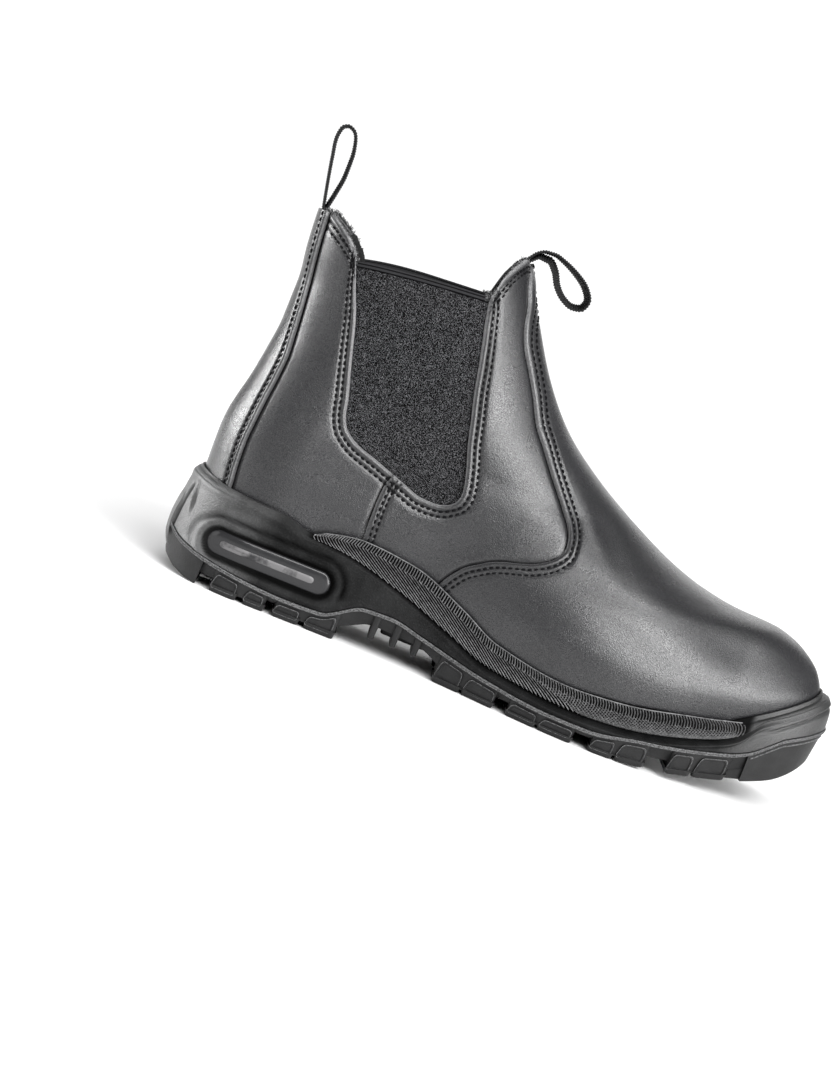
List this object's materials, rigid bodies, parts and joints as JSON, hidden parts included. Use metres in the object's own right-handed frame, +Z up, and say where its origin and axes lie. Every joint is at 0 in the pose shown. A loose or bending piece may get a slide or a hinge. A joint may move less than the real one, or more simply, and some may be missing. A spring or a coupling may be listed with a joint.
{
  "type": "side gore work boot",
  "caption": "Ankle-high leather work boot with elastic side panels, webbing pull loops, a cushioned midsole with a woven band and a lugged rubber outsole.",
  "frame": {"origin": "on the ground under the middle of the boot's box", "axes": "+X to the toe, +Y to the inner (medial) side, +Z up from the tread"},
  "size_m": [0.3034, 0.1052, 0.2086],
  "materials": {
    "leather": "smooth full-grain, satin, black",
    "elastic": "charcoal ribbed elastic knit",
    "midsole": "foamed polyurethane, matte, dark grey",
    "rubber": "black nitrile rubber, slight sheen",
    "lens": "clear dark window, glossy",
    "webbing": "black ribbed webbing",
    "insole": "grey textile over foam"
  },
  "bodies": {
    "root": {"outsole": "rubber", "midsole": "midsole", "heel_window_lateral": "lens", "heel_window_medial": "lens", "upper": "leather", "gore_lateral": "elastic", "gore_medial": "elastic", "insole": "insole", "pull_loop_back": "webbing", "pull_loop_front": "webbing"}
  },
  "joints": []
}
